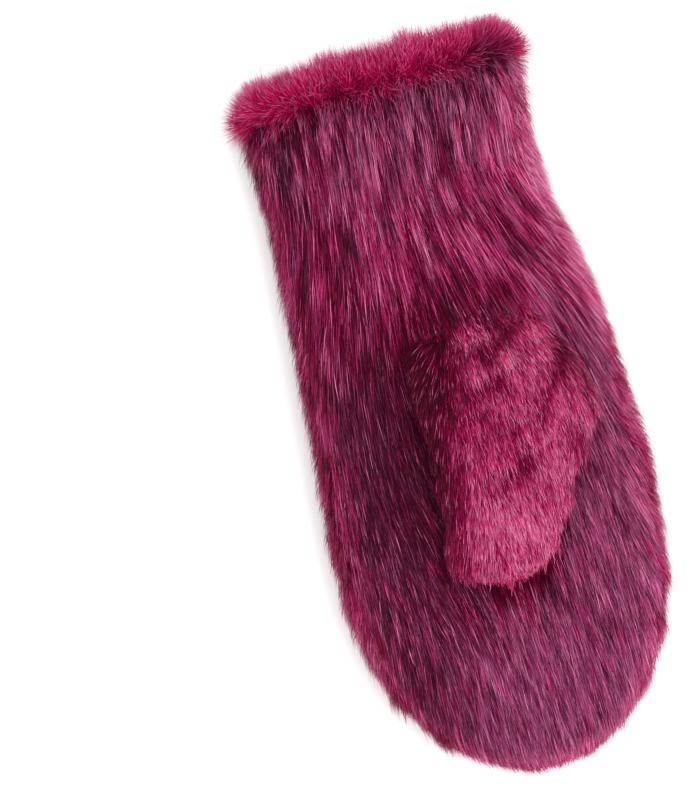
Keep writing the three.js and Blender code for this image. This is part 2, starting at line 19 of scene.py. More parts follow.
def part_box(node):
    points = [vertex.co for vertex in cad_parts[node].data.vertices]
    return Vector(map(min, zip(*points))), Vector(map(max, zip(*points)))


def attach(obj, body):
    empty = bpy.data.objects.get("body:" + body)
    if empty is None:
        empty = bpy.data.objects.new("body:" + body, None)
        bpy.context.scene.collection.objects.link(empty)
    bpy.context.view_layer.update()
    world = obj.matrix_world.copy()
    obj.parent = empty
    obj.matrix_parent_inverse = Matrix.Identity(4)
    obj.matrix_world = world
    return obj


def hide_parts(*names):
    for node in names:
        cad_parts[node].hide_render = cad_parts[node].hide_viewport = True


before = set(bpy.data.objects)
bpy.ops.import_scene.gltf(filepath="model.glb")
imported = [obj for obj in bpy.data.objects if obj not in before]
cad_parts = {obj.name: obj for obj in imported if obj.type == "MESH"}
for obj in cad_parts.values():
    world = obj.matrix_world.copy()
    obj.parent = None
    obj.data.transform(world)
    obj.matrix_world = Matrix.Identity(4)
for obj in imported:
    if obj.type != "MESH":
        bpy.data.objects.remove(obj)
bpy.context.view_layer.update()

MM = 0.001

# %% [markdown]
# ## The undercoat skins
# A pelt has two coats: a dense, short undercoat and long guard hairs over it. The undercoat shows
# only as a dark, soft depth between the hairs. It could be modelled as hair too, but nobody would
# see it. So it is a plain skin: a copy of the solid, rebuilt in even faces by a voxel remesh,
# because the solid's own faces are long and pointed where its locks of fur stand. Smoothing then
# melts the locks down to soft swells.
#
# A remesh can leave crumbs where a lock's point was thinner than a voxel. They are found by
# walking from vertex to vertex along the edges: whatever can't be reached from the skin is a
# crumb.


# %% Crumbs of a remesh
def keep_largest_island(shell):
    """Deletes every island of a bmesh but the largest, and counts what it deleted."""
    islands = []
    unseen = set(shell.verts)
    while unseen:
        reached = [unseen.pop()]
        for vertex in reached:
            beside = {edge.other_vert(vertex) for edge in vertex.link_edges} & unseen
            unseen -= beside
            reached.extend(beside)
        islands.append(reached)
    islands.sort(key=len)
    for crumb in islands[:-1]:
        bmesh.ops.delete(shell, geom=crumb, context="VERTS")
    return len(islands) - 1


# %% [markdown]
# The two large pelts and the hem are remeshed as one body, so that no groove opens at a seam, and
# are cut apart at the seams later. The thumb is a skin of its own. It is small, so it gets
# smaller voxels and less smoothing.

# %% Skins from the solids
SKINS = {
    "body": {"nodes": ("back_panel", "palm_panel", "cuff_hem"), "voxel": 3.0 * MM, "passes": 28},
    "thumb": {"nodes": ("thumb",), "voxel": 2.4 * MM, "passes": 12},
}
WELDED_WITHIN = 0.001 * MM
SMOOTHING = 0.5
ALL_AXES = {"use_axis_x": True, "use_axis_y": True, "use_axis_z": True}


def pelt_skin(name, nodes, voxel, passes):
    """An evenly faced, smoothed copy of CAD nodes, grown together."""
    shell = bmesh.new()
    for node in nodes:
        shell.from_mesh(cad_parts[node].data)
    bmesh.ops.remove_doubles(shell, verts=shell.verts, dist=WELDED_WITHIN)
    rough = bpy.data.meshes.new(name + "_rough")
    shell.to_mesh(rough)
    skin = bpy.data.objects.new(name, rough)
    bpy.context.collection.objects.link(skin)
    remesh = skin.modifiers.new("even faces", "REMESH")
    remesh.mode = "VOXEL"
    remesh.voxel_size = voxel
    depsgraph = bpy.context.evaluated_depsgraph_get()
    even = bpy.data.meshes.new_from_object(skin.evaluated_get(depsgraph))
    skin.modifiers.clear()
    skin.data = even
    bpy.data.meshes.remove(rough)
    shell.clear()
    shell.from_mesh(even)
    crumbs = keep_largest_island(shell)
    for _ in range(passes):
        bmesh.ops.smooth_vert(shell, verts=shell.verts, factor=SMOOTHING, **ALL_AXES)
    shell.to_mesh(even)
    shell.free()
    even.name = name
    print(f"{name}: {len(even.polygons)} faces from {nodes}, {crumbs} crumbs deleted")
    return skin


skins = {key: pelt_skin(key + "_undercoat", **plan) for key, plan in SKINS.items()}

# %% [markdown]
# ## Outside, inside and pressed
# Hair grows on the outside only. A point is in the hollow of the hand or the thumb if a ray from
# it strikes a wall to either side, above, below and towards the fingertips; the way to the cuff
# is open. And where another pelt is pressed against this one, as the thumb is against the palm,
# there is no room for hair. Both are asked of a BVH tree, which finds what a ray strikes very
# quickly.

# %% Sort the skins' points
HOLLOW_RAYS = [Vector(ray) for ray in ((1, 0, 0), (-1, 0, 0), (0, 0, 1), (0, 0, -1), (0, -1, 0))]
PROBE_OFFSET = 1.0 * MM
PRESSED_GAP = 2.0 * MM

walls_points = []
walls_faces = []
for skin in skins.values():
    first = len(walls_points)
    walls_points += [vertex.co.copy() for vertex in skin.data.vertices]
    walls_faces += [[first + index for index in face.vertices] for face in skin.data.polygons]
walls = BVHTree.FromPolygons(walls_points, walls_faces)


def sort_points(skin):
    """For each vertex: is it in the hollow, and is another wall pressed against it?"""
    hollow = []
    pressed = []
    for vertex in skin.data.vertices:
        probe = vertex.co + vertex.normal * PROBE_OFFSET
        hollow.append(all(walls.ray_cast(probe, ray)[0] for ray in HOLLOW_RAYS))
        pressed.append(walls.ray_cast(probe, vertex.normal, PRESSED_GAP)[0] is not None)
    return np.array(hollow), np.array(pressed)


hollow = {}
pressed = {}
for key, skin in skins.items():
    hollow[key], pressed[key] = sort_points(skin)
    print(f"{key}: {hollow[key].mean():.0%} in the hollow, {pressed[key].mean():.0%} pressed")

# %% [markdown]
# ## Room for the hairs
# The solids' outer faces stand where the fur's outside is. The hairs need that depth, so the
# skin's outside sinks along its normals before anything grows on it. Underneath, the mitten's
# weight presses the fur flat, and there the skin sinks less.
#
# Much below is blended with a smoothstep: a ramp from 0 to 1 between two values that starts and
# ends gently, so no edge shows where one region turns into the next.

# %% Sink the skins' outsides
FUR_ROOM = {"body": 0.8 * MM, "thumb": 2.2 * MM}
FUR_ROOM_PRESSED = 0.5 * MM
FACING_DOWN = (0.5, 0.9)
HEM_MOUTH_Y = 0.125


def numbers(collection, name, width, kind=np.float64):
    """One property of every item of a mesh's collection, as rows of an array."""
    values = np.empty(len(collection) * width, kind)
    collection.foreach_get(name, values)
    return values.reshape(-1, width)


def smoothstep(values, low, high):
    share = np.clip((values - low) / (high - low), 0, 1)
    return share * share * (3 - 2 * share)


def sink(key):
    """Sinks the outside of a skin, and says which of its points that is."""
    depth = FUR_ROOM[key]
    mesh = skins[key].data
    places = numbers(mesh.vertices, "co", 3)
    normals = numbers(mesh.vertices, "normal", 3)
    outside = ~hollow[key] | (places[:, 1] > HEM_MOUTH_Y)
    underneath = smoothstep(-normals[:, 2], *FACING_DOWN)
    depths = depth + (FUR_ROOM_PRESSED - depth) * underneath
    places -= normals * (depths * outside)[:, None]
    mesh.vertices.foreach_set("co", places.ravel())
    mesh.update()
    return outside


outside = {key: sink(key) for key in skins}

print("outside points:", {key: int(mask.sum()) for key, mask in outside.items()})

# %% [markdown]
# The thumb lies relaxed: its end leans towards the middle of the palm and is blunt, a few
# millimetres short of the solid's. Its points are moved by a smooth formula, as a sculptor's grab
# brush would do it, so that the skin stays even. The outer side leans sooner than the inner one,
# which narrows the end.

# %% Lean the thumb's end
THUMB_END_Y = -0.048
THUMB_END_BLUNTED_OVER = 50 * MM
THUMB_SIDES_X = (-0.01, 0.03)
INNER_LEAN = 3.5 * MM
INNER_LEAN_PAST = (0.035, 0.055)
OUTER_LEAN = 4.8 * MM
OUTER_LEAN_PAST = (0.01, 0.045)


def lean_thumb(mesh):
    places = numbers(mesh.vertices, "co", 3)
    x, y = places[:, 0].copy(), places[:, 1].copy()
    outer = smoothstep(x, *THUMB_SIDES_X)
    inner_lean = INNER_LEAN * smoothstep(-y, *INNER_LEAN_PAST)
    outer_lean = OUTER_LEAN * smoothstep(-y, *OUTER_LEAN_PAST)
    places[:, 0] -= outer_lean * outer + inner_lean * (1 - outer)
    past_end = np.maximum(THUMB_END_Y - y, 0)
    blunted = THUMB_END_BLUNTED_OVER * (1 - np.exp(-past_end / THUMB_END_BLUNTED_OVER))
    places[:, 1] += past_end - blunted
    mesh.vertices.foreach_set("co", places.ravel())
    mesh.update()
    print(f"thumb's end now at y {places[:, 1].min() / MM:.1f} mm")


lean_thumb(skins["thumb"].data)

# %% [markdown]
# ## Colours
# The dye colours are written as a screen shows them, because that is how they are judged.
# A shader wants the share of light that a surface throws back, so they are made linear. The scene
# is lit a quarter brighter than white needs, to keep the ground pure white, so every colour is
# divided by the same 1.25. A colour ramp turns a number, such as a noise or a place along a hair,
# into one of several colours.

# %% Colour helpers
LIGHT_ON_WHITE = 1.25


def dye(red, green, blue):
    """A colour as it looks on a screen, from 0 to 255, as a surface's share of linear light."""
    linear = [((c / 255 + 0.055) / 1.055) ** 2.4 for c in (red, green, blue)]
    return tuple(value / LIGHT_ON_WHITE for value in linear)


def add_node(tree, kind, **inputs):
    node = tree.nodes.new(kind)
    for name, value in inputs.items():
        node.inputs[name].default_value = value
    return node


def ramp(tree, factor, stops, interpolation="LINEAR"):
    """A colour ramp fed by a socket, from (position, colour) pairs."""
    node = tree.nodes.new("ShaderNodeValToRGB")
    node.color_ramp.interpolation = interpolation
    elements = node.color_ramp.elements
    while len(elements) < len(stops):
        elements.new(1.0)
    for element, (position, colour) in zip(elements, stops):
        element.position = position
        element.color = (*colour, 1.0)
    tree.links.new(factor, node.inputs["Fac"])
    return node.outputs["Color"]


print("pure white as a dye:", [round(value, 2) for value in dye(255, 255, 255)])

# %% [markdown]
# ## Finishes of the skins
# The undercoat is matt wool in deep crimson, darker in streaks that run with the hair. The inside
# of a pelt is suede. Both are noise on Object coordinates, stretched along the hair for the
# undercoat, with a little bump. Sheen gives the dusty light that wool and suede catch at their
# edges.

# %% Undercoat and suede
MATT_SHINE = 0.1
GRAIN_STOPS = (0.35, 0.65)
BUMP_STRENGTH = 0.6


def woolly_material(name, stretch, scale, dark, light, bump_depth, roughness, sheen):
    material = bpy.data.materials.new(name)
    material.use_nodes = True
    tree = material.node_tree
    shader = tree.nodes["Principled BSDF"]
    shader.inputs["Roughness"].default_value = roughness
    shader.inputs["Sheen Weight"].default_value = sheen
    shader.inputs["Sheen Tint"].default_value = (*light, 1.0)
    shader.inputs["Specular IOR Level"].default_value = MATT_SHINE
    place = tree.nodes.new("ShaderNodeTexCoord")
    mapping = add_node(tree, "ShaderNodeMapping", Scale=stretch)
    grain = add_node(tree, "ShaderNodeTexNoise", Scale=scale, Detail=6.0, Roughness=0.6)
    bump = add_node(tree, "ShaderNodeBump", Strength=BUMP_STRENGTH, Distance=bump_depth)
    tree.links.new(place.outputs["Object"], mapping.inputs["Vector"])
    tree.links.new(mapping.outputs["Vector"], grain.inputs["Vector"])
    colour = ramp(tree, grain.outputs["Fac"], list(zip(GRAIN_STOPS, (dark, light))))
    tree.links.new(colour, shader.inputs["Base Color"])
    tree.links.new(grain.outputs["Fac"], bump.inputs["Height"])
    tree.links.new(bump.outputs["Normal"], shader.inputs["Normal"])
    return material


undercoat = woolly_material(
    "crimson undercoat",
    stretch=(1.0, 0.12, 1.0),
    scale=900.0,
    dark=dye(58, 0, 22),
    light=dye(146, 2, 62),
    bump_depth=0.6 * MM,
    roughness=0.95,
    sheen=0.1,
)
suede = woolly_material(
    "plum suede",
    stretch=(1.0, 1.0, 1.0),
    scale=700.0,
    dark=dye(70, 26, 46),
    light=dye(98, 42, 66),
    bump_depth=0.15 * MM,
    roughness=0.9,
    sheen=0.4,
)

print("finishes:", undercoat.name, "and", suede.name)

# %% [markdown]
# Every face of a skin gets one of the two: suede if all its corners are inside, undercoat if not.
# The thumb's skin is then finished, and stands for the thumb's solid.

# %% Dress the skins
SLOTS = {"back": "back_fur", "palm": "palm_fur", "thumb": "thumb_fur", "hem": "hem_fur"}


def dress(key):
    mesh = skins[key].data
    mesh.materials.append(undercoat)
    mesh.materials.append(suede)
    inside = ~outside[key]
    for face in mesh.polygons:
        face.use_smooth = True
        face.material_index = int(inside[list(face.vertices)].all())
    print(key, "skin dressed in", [material.name for material in mesh.materials])


def settle(piece, node):
    """Lets a piece stand for a node: hides the node's solid and puts the piece under the root
    body.
    """
    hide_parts(node)
    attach(piece, "root")


for key in skins:
    dress(key)
settle(skins["thumb"], "thumb")

# %% [markdown]
# The body is now cut apart at its seams: the back's pelt, the palm's pelt over it, and the hem at
# the cuff. A bisect keeps one side of a plane, and a triangle fill closes the cut. The uncut body
# stays as a mesh that nobody sees, because the hairs are scattered on it: its normals run on
# smoothly over the seams.

# %% Cut the body at its seams
SIDE_SEAM_Z = (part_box("back_panel")[1].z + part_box("palm_panel")[0].z) / 2
CUFF_SEAM_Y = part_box("back_panel")[1].y
UP = Vector((0, 0, 1))
TO_CUFF = Vector((0, 1, 0))


def part_of_body(name, cuts):
    """What is left of the body in front of each cut, given as a point and a direction."""
    shell = bmesh.new()
    shell.from_mesh(skins["body"].data)
    for point, direction in cuts:
        bmesh.ops.bisect_plane(
            shell,
            geom=[*shell.verts, *shell.edges, *shell.faces],
            plane_co=point,
            plane_no=direction,
            clear_inner=True,
        )
        rim = [edge for edge in shell.edges if edge.is_boundary]
        bmesh.ops.triangle_fill(shell, edges=rim, use_beauty=True)
        bmesh.ops.recalc_face_normals(shell, faces=shell.faces)
    open_edges = sum(edge.is_boundary for edge in shell.edges)
    mesh = bpy.data.meshes.new(name)
    shell.to_mesh(mesh)
    shell.free()
    for material in skins["body"].data.materials:
        mesh.materials.append(material)
    piece = bpy.data.objects.new(name, mesh)
    bpy.context.collection.objects.link(piece)
    print(f"{name}: {len(mesh.polygons)} faces, {open_edges} open edges")
    return piece


side_seam = UP * SIDE_SEAM_Z
cuff_seam = TO_CUFF * CUFF_SEAM_Y
back_skin = part_of_body("back_undercoat", [(side_seam, -UP), (cuff_seam, -TO_CUFF)])
palm_skin = part_of_body("palm_undercoat", [(side_seam, UP), (cuff_seam, -TO_CUFF)])
hem_skin = part_of_body("hem_undercoat", [(cuff_seam, TO_CUFF)])
settle(back_skin, "back_panel")
settle(palm_skin, "palm_panel")
settle(hem_skin, "cuff_hem")
bpy.context.collection.objects.unlink(skins["body"])

# %% [markdown]
# ## The dyed hair
# The fur was dyed over its natural grey-brown. Some hairs took the dye fully and are magenta,
# from crimson to pink. Others stay mauve and plum. So tones under one half are the mauve family,
# from dark to light, and tones over it the magenta family. Each hair is dark and crimson at its
# root and reaches its own colour towards its tip.
#
# A hair's tone and the way along it are kept in its UV map: U is the tone, and V runs from the
# root, 0, to the tip, 1. So one material can colour every hair, and no picture is needed.

# %% Hair material
# The darkest stop of each family is deep enough for the painted shade that daubs lay beside and
# under the thumb, as well as for the darkest fur.
MAUVE = [
    (0.00, dye(46, 4, 24)),
    (0.14, dye(90, 24, 54)),
    (0.30, dye(150, 60, 104)),
    (0.49, dye(196, 114, 154)),
]
MAGENTA = [
    (0.51, dye(60, 0, 20)),
    (0.64, dye(156, 0, 70)),
    (0.80, dye(206, 72, 136)),
    (1.00, dye(236, 158, 196)),
]
ROOTS = [
    (0.00, dye(30, 0, 10)),
    (0.30, dye(90, 0, 40)),
    (0.49, dye(112, 4, 56)),
    (0.51, dye(42, 0, 12)),
    (0.70, dye(118, 0, 48)),
    (0.86, dye(192, 0, 84)),
    (1.00, dye(202, 20, 100)),
]
ROOT_TO_TIP = [(0.2, (0, 0, 0)), (0.72, (1, 1, 1))]
HAIR_MAP = "OFBake"
HAIR_ROUGHNESS = 0.5
HAIR_SHINE = 0.13
HAIR_SHINE_TINT = (1.0, 0.25, 0.55, 1.0)


def hair_material(name):
    material = bpy.data.materials.new(name)
    material.use_nodes = True
    tree = material.node_tree
    shader = tree.nodes["Principled BSDF"]
    shader.inputs["Roughness"].default_value = HAIR_ROUGHNESS
    shader.inputs["Specular IOR Level"].default_value = HAIR_SHINE
    shader.inputs["Specular Tint"].default_value = HAIR_SHINE_TINT
    hair = tree.nodes.new("ShaderNodeUVMap")
    hair.uv_map = HAIR_MAP
    split = tree.nodes.new("ShaderNodeSeparateXYZ")
    tree.links.new(hair.outputs["UV"], split.inputs["Vector"])
    tips = ramp(tree, split.outputs["X"], MAUVE + MAGENTA)
    roots = ramp(tree, split.outputs["X"], ROOTS)
    rise = ramp(tree, split.outputs["Y"], ROOT_TO_TIP, "EASE")
    blend = tree.nodes.new("ShaderNodeMix")
    blend.data_type = "RGBA"
    tree.links.new(rise, blend.inputs["Factor"])
    tree.links.new(roots, blend.inputs["A"])
    tree.links.new(tips, blend.inputs["B"])
    tree.links.new(blend.outputs["Result"], shader.inputs["Base Color"])
    return material


dyed_hair = hair_material("dyed guard hair")
print("hair tones:", len(MAUVE), "mauve,", len(MAGENTA), "magenta")

# %% [markdown]
# ## Which way the hair lies
# Hair lies from the cuff to the fingertips. A direction is worked out for each tuft from its
# place, by a few smooth formulas. That is easier to control than combing hair by hand. Directions
# are given in degrees from straight down the mitten, and positive ones turn towards the thumb's
# side.
#
# The sweep turns all the hair of a region. The fan turns it more the further it grows from the
# middle, most at the narrow wrist, where the pelt is gathered. Over the palm the hair turns out
# only near the edges, and in beside the thumb.

# %% Lie of the body's hair
SWEEP = {"palm": 1.0, "wrist": 2.0, "cuff": -6.0}
FAN = {"palm": 0.0, "wrist": 18.0, "cuff": -4.0}
FAN_REACH = 0.04
FAN_LEFT_END = -0.045
WRIST_FROM_Y = (0.0, 0.06)
CUFF_FROM_Y = (0.085, 0.12)
RIGHT_EDGE_FAN = 24.0
RIGHT_EDGE_X = (0.044, 0.062)
LEFT_END_FAN = -8.0
LEFT_END_PAST = {"x": (0.02, 0.055), "y": (0.05, 0.11)}
BESIDE_THUMB_TURN = 11.0
BESIDE_THUMB_X = -0.024
BESIDE_THUMB_WIDTH = 0.014
BESIDE_THUMB_STARTS = (0.0, 0.03)
BESIDE_THUMB_ENDS = (0.07, 0.095)


def lying(degrees):
    """Level directions, turned by so many degrees from straight down the mitten."""
    turn = np.radians(degrees)
    return np.stack([np.sin(turn), -np.cos(turn), np.zeros(len(turn))], axis=1)


def between_regions(values, y):
    """Palm, wrist and cuff values, blended along the mitten."""
    wrist = smoothstep(y, *WRIST_FROM_Y)
    cuff = smoothstep(y, *CUFF_FROM_Y)
    below_cuff = values["palm"] * (1 - wrist) + values["wrist"] * wrist
    return below_cuff * (1 - cuff) + values["cuff"] * cuff


def palm_turns(place):
    """Over the palm: out at the thumb side's edge and the left end, in beside the thumb."""
    x, y = place[:, 0], place[:, 1]
    right = RIGHT_EDGE_FAN * smoothstep(x, *RIGHT_EDGE_X)
    left_end = smoothstep(-x, *LEFT_END_PAST["x"]) * smoothstep(-y, *LEFT_END_PAST["y"])
    beside = np.exp(-(((x - BESIDE_THUMB_X) / BESIDE_THUMB_WIDTH) ** 2))
    beside *= smoothstep(-y, *BESIDE_THUMB_STARTS) * (1 - smoothstep(-y, *BESIDE_THUMB_ENDS))
    turns = right + LEFT_END_FAN * left_end + BESIDE_THUMB_TURN * beside
    return turns * (1 - smoothstep(y, *WRIST_FROM_Y))


def body_lie(place):
    sideways = np.maximum(place[:, 0], FAN_LEFT_END) / FAN_REACH
    fan = between_regions(FAN, place[:, 1]) * sideways
    return lying(between_regions(SWEEP, place[:, 1]) + fan + palm_turns(place))


print("sweep in degrees:", SWEEP, "fan over 40 mm:", FAN)

# %% [markdown]
# On the thumb the hair runs the same way, but folds back over the thumb's inner edge. The hem's
# hair stands up out of the cuff, and parts just beside its seam, where it falls over the palm's.

# %% Lie of the thumb's and the hem's hair
THUMB_SWEEP = 2.0
THUMB_BASE_SWEEP = 8.0
THUMB_BASE_FROM = {"x": (0.01, 0.03), "y": (0.0, 0.035)}
THUMB_EDGE_X = (-0.014, 0.008)
THUMB_EDGE_TURN = 20.0
THUMB_EDGE_TURN_BASE = 26.0
THUMB_EDGE_BASE_Y = (0.0, 0.03)
HEM_FLARE = 0.5
HEM_HALF_WIDTH = 0.055
HEM_PARTING_Y = (0.131, 0.139)
HEM_FALLS = -0.5
HEM_STANDS = 1.0


def thumb_lie(place):
    x, y = place[:, 0], place[:, 1]
    edge = 1 - smoothstep(x, *THUMB_EDGE_X)
    edge_turn = THUMB_EDGE_TURN + THUMB_EDGE_TURN_BASE * smoothstep(y, *THUMB_EDGE_BASE_Y)
    base = smoothstep(y, *THUMB_BASE_FROM["y"]) * smoothstep(x, *THUMB_BASE_FROM["x"])
    return lying(THUMB_SWEEP - edge_turn * edge + THUMB_BASE_SWEEP * base)


def hem_lie(place):
    """Out of the cuff, but over the seam just beside it, so that the hair parts there."""
    standing = smoothstep(place[:, 1], *HEM_PARTING_Y)
    to_cuff = HEM_FALLS + (HEM_STANDS - HEM_FALLS) * standing
    outwards = HEM_FLARE * (place[:, 0] / HEM_HALF_WIDTH) ** 3
    return np.stack([outwards, to_cuff, np.zeros(len(standing))], axis=1)


print(f"hem's hair parts at y {HEM_PARTING_Y[0] / MM:.0f} to {HEM_PARTING_Y[1] / MM:.0f} mm")

# %% [markdown]
# ## Tufts
# Guard hairs gather in tufts a few millimetres apart, pointed at their tips, and the dark gaps
# between tufts are what makes fur look like fur. So tufts are scattered first. A triangle is
# drawn by its area, then a point in it, and the skin's normal there comes along. Blender's
# Geometry Nodes could scatter them as well, but here every later step needs the places as plain
# arrays.

# %% Scatter tufts
HAIRS_IN_A_TUFT = 7
SEED = 7
random = np.random.default_rng(SEED)


def unit(vectors):
    return vectors / np.linalg.norm(vectors, axis=-1, keepdims=True)


def scatter_tufts(key, hairs, wanted):
    """Places and normals on a skin for enough tufts, where wanted(places, normals) is above 0."""
    mesh = skins[key].data
    mesh.calc_loop_triangles()
    places = numbers(mesh.vertices, "co", 3)
    normals = numbers(mesh.vertices, "normal", 3)
    triangles = numbers(mesh.loop_triangles, "vertices", 3, np.int32)
    grows = outside[key] & ~pressed[key]
    corners = places[triangles]
    sides = corners[:, 1:] - corners[:, :1]
    areas = np.linalg.norm(np.cross(sides[:, 0], sides[:, 1]), axis=1) / 2
    middles = corners.mean(axis=1)
    leanings = normals[triangles].mean(axis=1)
    weights = areas * grows[triangles].all(axis=1) * wanted(middles, leanings)
    count = hairs // HAIRS_IN_A_TUFT
    chosen = random.choice(len(triangles), count, p=weights / weights.sum())
    shares = random.dirichlet((1, 1, 1), count)[:, :, None]
    place = (corners[chosen] * shares).sum(axis=1)
    normal = (normals[triangles[chosen]] * shares).sum(axis=1)
    print(f"{key}: {count} tufts on {weights.sum() / MM**2:.0f} square mm")
    return place, unit(normal)


print("hairs in a tuft:", HAIRS_IN_A_TUFT)

# %% [markdown]
# ## From a tuft to its hairs
# The hairs of a tuft are rooted round its middle and drawn together at the tip. A hair has three
# stretches: it leaves the skin steeply, bends over, and lies. Each stretch heads partly along the
# skin and partly up its normal, and the share of the lift says how far up. Every hair strays a
# little from its neighbours. All hairs are worked out at once as NumPy arrays, which takes a
# moment, where a loop would take minutes. None goes through the ground.

# %% Comb and bend the hairs
TUFT_RADIUS = 1.1 * MM
TUFT_SHAPE = np.array([1.0, 1.8])
TUFT_GATHER = 0.55
GATHER_POWER = 1.5
STRETCHES = np.array([0.24, 0.36, 0.40])
BENT_OVER = np.array([2.4, 1.0, 0.45])
STEEPEST = math.radians(80)
LOWEST = 0.3 * MM


def each_hair(values):
    """Values of the tufts, repeated for every hair of each tuft."""
    return np.repeat(values, HAIRS_IN_A_TUFT, axis=0)


def wander(count, spread):
    """One small random number for each hair, as a column."""
    return random.normal(0, spread, (count, 1))


def comb_hairs(normal, lie, unruly, stray):
    """The way that each hair lies along the skin, and the way across it."""
    along = each_hair(lie) + each_hair(random.normal(0, unruly, (len(lie), 3)))
    along -= (along * normal).sum(axis=1, keepdims=True) * normal
    across = unit(np.cross(along, normal))
    return along + across * wander(len(along), stray), across


def bend_hairs(place, normal, along, across, length, lift, gather, bend):
    """The root, the two bends and the tip of each hair."""
    offset = random.normal(0, TUFT_RADIUS, (len(place), 2)) * TUFT_SHAPE
    point = place + across * offset[:, :1] + unit(along) * offset[:, 1:]
    points = [point]
    done = 0.0
    for stretch, lift_share in zip(STRETCHES, bend):
        angle = np.minimum(lift * lift_share, STEEPEST)
        heading = unit(along * np.cos(angle) + normal * np.sin(angle))
        done += stretch
        point = point + heading * length[:, None] * stretch
        drawn = across * offset[:, :1] * (-gather * done**GATHER_POWER)
        points.append(point + drawn)
    points = np.stack(points, axis=1)
    points[:, :, 2] = np.maximum(points[:, :, 2], LOWEST)
    return points


print("stretches of a hair:", STRETCHES)

# %% [markdown]
# A hair is drawn as a ribbon: a pair of corners at its root and at each bend, and one at its tip,
# which makes five triangles. A tube of three sides would need three times as many, and nobody
# could tell. A random roll about its own length keeps the ribbons from lying like shingles.

# %% Widen the hairs
RIBBON_CORNERS = 7
RIBBON_WIDTHS = np.array([0.7, 1.0, 0.75])
RIBBON_ROLL = 0.45
WIDTH_SHARES = (0.6, 1.3)


def widen(points, normal, width):
    """The corners of each hair's ribbon."""
    count = len(points)
    heading = unit(np.diff(points, axis=1))
    side = unit(np.cross(heading, normal[:, None, :]))
    roll = random.normal(0, RIBBON_ROLL, (count, 1, 1))
    side = side * np.cos(roll) + np.cross(side, heading) * np.sin(roll)
    half = width / 2 * random.uniform(*WIDTH_SHARES, (count, 1, 1)) * RIBBON_WIDTHS[None, :, None]
    corners = np.empty((count, RIBBON_CORNERS, 3))
    corners[:, 0:6:2] = points[:, :3] - side * half
    corners[:, 1:6:2] = points[:, :3] + side * half
    corners[:, 6] = points[:, 3]
    corners[:, :, 2] = np.maximum(corners[:, :, 2], LOWEST)
    return corners


print("ribbon's width at its root and bends:", RIBBON_WIDTHS)

# %% [markdown]
# The hairs of a tuft are near to it in tone and stay in its family, so that a tuft reads as one
# lock. A few hairs anywhere are light, as in real fur.

# %% Tint the hairs
MAUVE_TONES = (0.01, 0.48)
MAGENTA_TONES = (0.52, 0.99)
BETWEEN_FAMILIES = 0.5
LIGHT_HAIR_TONE = 0.9


def tint_hairs(tone, tone_spread, light_share):
    """A tone for each hair, from its tuft's."""
    count = len(tone) * HAIRS_IN_A_TUFT
    magenta = each_hair(tone) > BETWEEN_FAMILIES
    spread = each_hair(np.broadcast_to(tone_spread, len(tone)))
    tones = each_hair(tone) + random.normal(0, 1, count) * spread
    tones = np.where(random.random(count) < light_share, LIGHT_HAIR_TONE, tones)
    darkest = np.where(magenta, MAGENTA_TONES[0], MAUVE_TONES[0])
    lightest = np.where(magenta, MAGENTA_TONES[1], MAUVE_TONES[1])
    return np.clip(tones, darkest, lightest)


print("tones: mauve", MAUVE_TONES, "magenta", MAGENTA_TONES)

# %% [markdown]
# The ribbons of a region become one mesh. A bmesh would be slow with a million corners, so the
# arrays go straight into the mesh: its points, which points each face joins, and the UV map. The
# climb bends the way from root to tip: with a high climb a hair stays its root's colour for most
# of its length. The UV map keeps clear of its own border, where a baked picture would bleed.

# %% Ribbons to a mesh
RIBBON_LOOPS = np.array([0, 1, 3, 2, 2, 3, 5, 4, 4, 5, 6])
RIBBON_FACES = np.array([4, 4, 3])
RIBBON_TRIANGLES = 5
RIBBON_V = np.array([0.0, 0.0, 0.24, 0.24, 0.6, 0.6, 1.0])
RIBBON_U = np.array([-1, 1, -1, 1, -1, 1, 0]) * 0.004
MAP_BORDER = 0.01
MAP_INSIDE = 1 - 2 * MAP_BORDER


def ribbon_mesh(name, corners, tone, climb):
    count = len(corners)
    mesh = bpy.data.meshes.new(name)
    mesh.vertices.add(count * RIBBON_CORNERS)
    mesh.vertices.foreach_set("co", corners.astype(np.float32).ravel())
    loops = RIBBON_LOOPS[None, :] + RIBBON_CORNERS * np.arange(count)[:, None]
    mesh.loops.add(loops.size)
    mesh.loops.foreach_set("vertex_index", loops.astype(np.int32).ravel())
    faces = np.tile(RIBBON_FACES, count)
    mesh.polygons.add(len(faces))
    starts = np.concatenate([[0], np.cumsum(faces)[:-1]])
    mesh.polygons.foreach_set("loop_start", starts.astype(np.int32))
    mesh.update(calc_edges=True)
    u = tone[:, None] * MAP_INSIDE + MAP_BORDER + RIBBON_U[None, :]
    v = RIBBON_V ** climb[:, None] * MAP_INSIDE + MAP_BORDER
    uv = np.stack([u, v], axis=2)[:, RIBBON_LOOPS]
    layer = mesh.uv_layers.new(name=HAIR_MAP)
    layer.data.foreach_set("uv", uv.astype(np.float32).ravel())
    mesh.polygons.foreach_set("use_smooth", np.ones(len(faces), bool))
    mesh.materials.append(dyed_hair)
    piece = bpy.data.objects.new(name, mesh)
    bpy.context.collection.objects.link(piece)
    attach(piece, "root")
    print(f"{name}: {count} hairs, {count * RIBBON_TRIANGLES} triangles")
    return piece


# %% [markdown]
# One function now takes tufts to a finished piece. The lie, length, lift and tone are given for
# each tuft, and the rest for the whole region. Where the lie points into the skin or out of it,
# as round the fingertips, the hair has little room along the skin and is cut shorter.

# %% Lay the hairs
STEEP_LOSS = 0.65
LENGTH_SHARES = (0.65, 1.1)
LIFT_WANDER = 0.18


